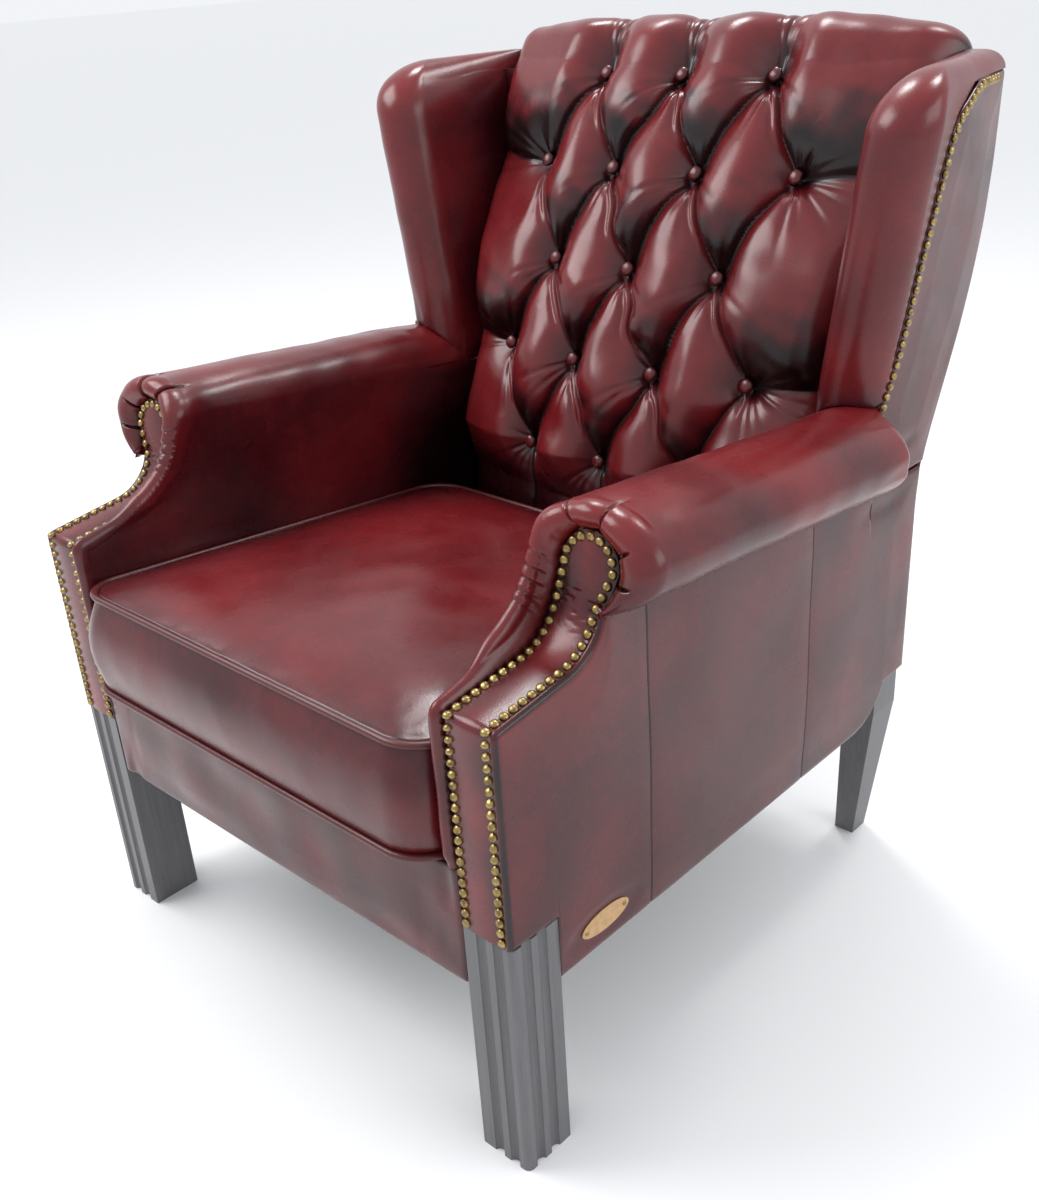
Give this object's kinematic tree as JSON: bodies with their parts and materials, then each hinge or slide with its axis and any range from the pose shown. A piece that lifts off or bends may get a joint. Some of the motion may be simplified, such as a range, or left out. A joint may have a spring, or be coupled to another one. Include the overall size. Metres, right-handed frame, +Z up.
{
  "type": "wing armchair",
  "caption": "High-backed wing armchair in deep-buttoned leather, with scroll arms, brass nailing, moulded front legs and a loose seat cushion that lifts out.",
  "frame": {"origin": "on the floor, under the centre of the chair's bounding box", "axes": "+Z up; the front of the chair faces -Y; +X towards the sitter's left, the side with the oval plate"},
  "size_m": [0.8834, 0.9376, 1.0602],
  "materials": {
    "leather": "semi-gloss, hand-rubbed antique",
    "button_leather": "semi-gloss",
    "piping_leather": "semi-gloss",
    "stained_wood": "satin, dark stained",
    "frame_wood": "sawn and planed, unfinished",
    "lining_board": "plain board",
    "steel": "bright zinc",
    "webbing": "woven",
    "dust_cloth": "matte woven",
    "brass": "antique, polished crowns",
    "plate_metal": "satin, bare"
  },
  "bodies": {
    "chair_frame": {"front_leg_left": "stained_wood", "front_leg_right": "stained_wood", "rear_leg_left": "stained_wood", "rear_leg_right": "stained_wood", "front_rail": "frame_wood", "rear_rail": "frame_wood", "side_rail_left": "frame_wood", "side_rail_right": "frame_wood", "corner_blocks": "frame_wood", "corner_block_screws": "steel", "arm_post_left": "frame_wood", "arm_post_right": "frame_wood", "scroll_board_left": "frame_wood", "scroll_board_right": "frame_wood", "arm_rail_left": "frame_wood", "arm_rail_right": "frame_wood", "arm_lining_left": "lining_board", "arm_lining_right": "lining_board", "back_upright_left": "frame_wood", "back_upright_right": "frame_wood", "top_rail": "frame_wood", "lower_back_rail": "frame_wood", "wing_board_left": "frame_wood", "wing_board_right": "frame_wood", "seat_webbing": "webbing", "back_webbing": "webbing", "seat_deck": "leather", "back_pad": "leather", "back_buttons": "button_leather", "outside_back": "leather", "wing_pad_left": "leather", "wing_pad_right": "leather", "outside_wing_left": "leather", "outside_wing_right": "leather", "arm_pad_left": "leather", "arm_pad_right": "leather", "outside_arm_left": "leather", "outside_arm_right": "leather", "facing_left": "leather", "facing_right": "leather", "facing_nails_left": "brass", "facing_nails_right": "brass", "wing_nails_left": "brass", "wing_nails_right": "brass", "front_border": "leather", "dust_cover": "dust_cloth", "oval_plate": "plate_metal", "plate_screws": "brass"},
    "seat_cushion": {"cushion_cover": "leather", "cushion_piping_top": "piping_leather", "cushion_piping_bottom": "piping_leather"}
  },
  "joints": [
    {"name": "cushion_lift", "type": "slide", "parent": "chair_frame", "child": "seat_cushion", "axis": [0, -0.342, 0.9397], "range_m": [0, 0.45]}
  ]
}
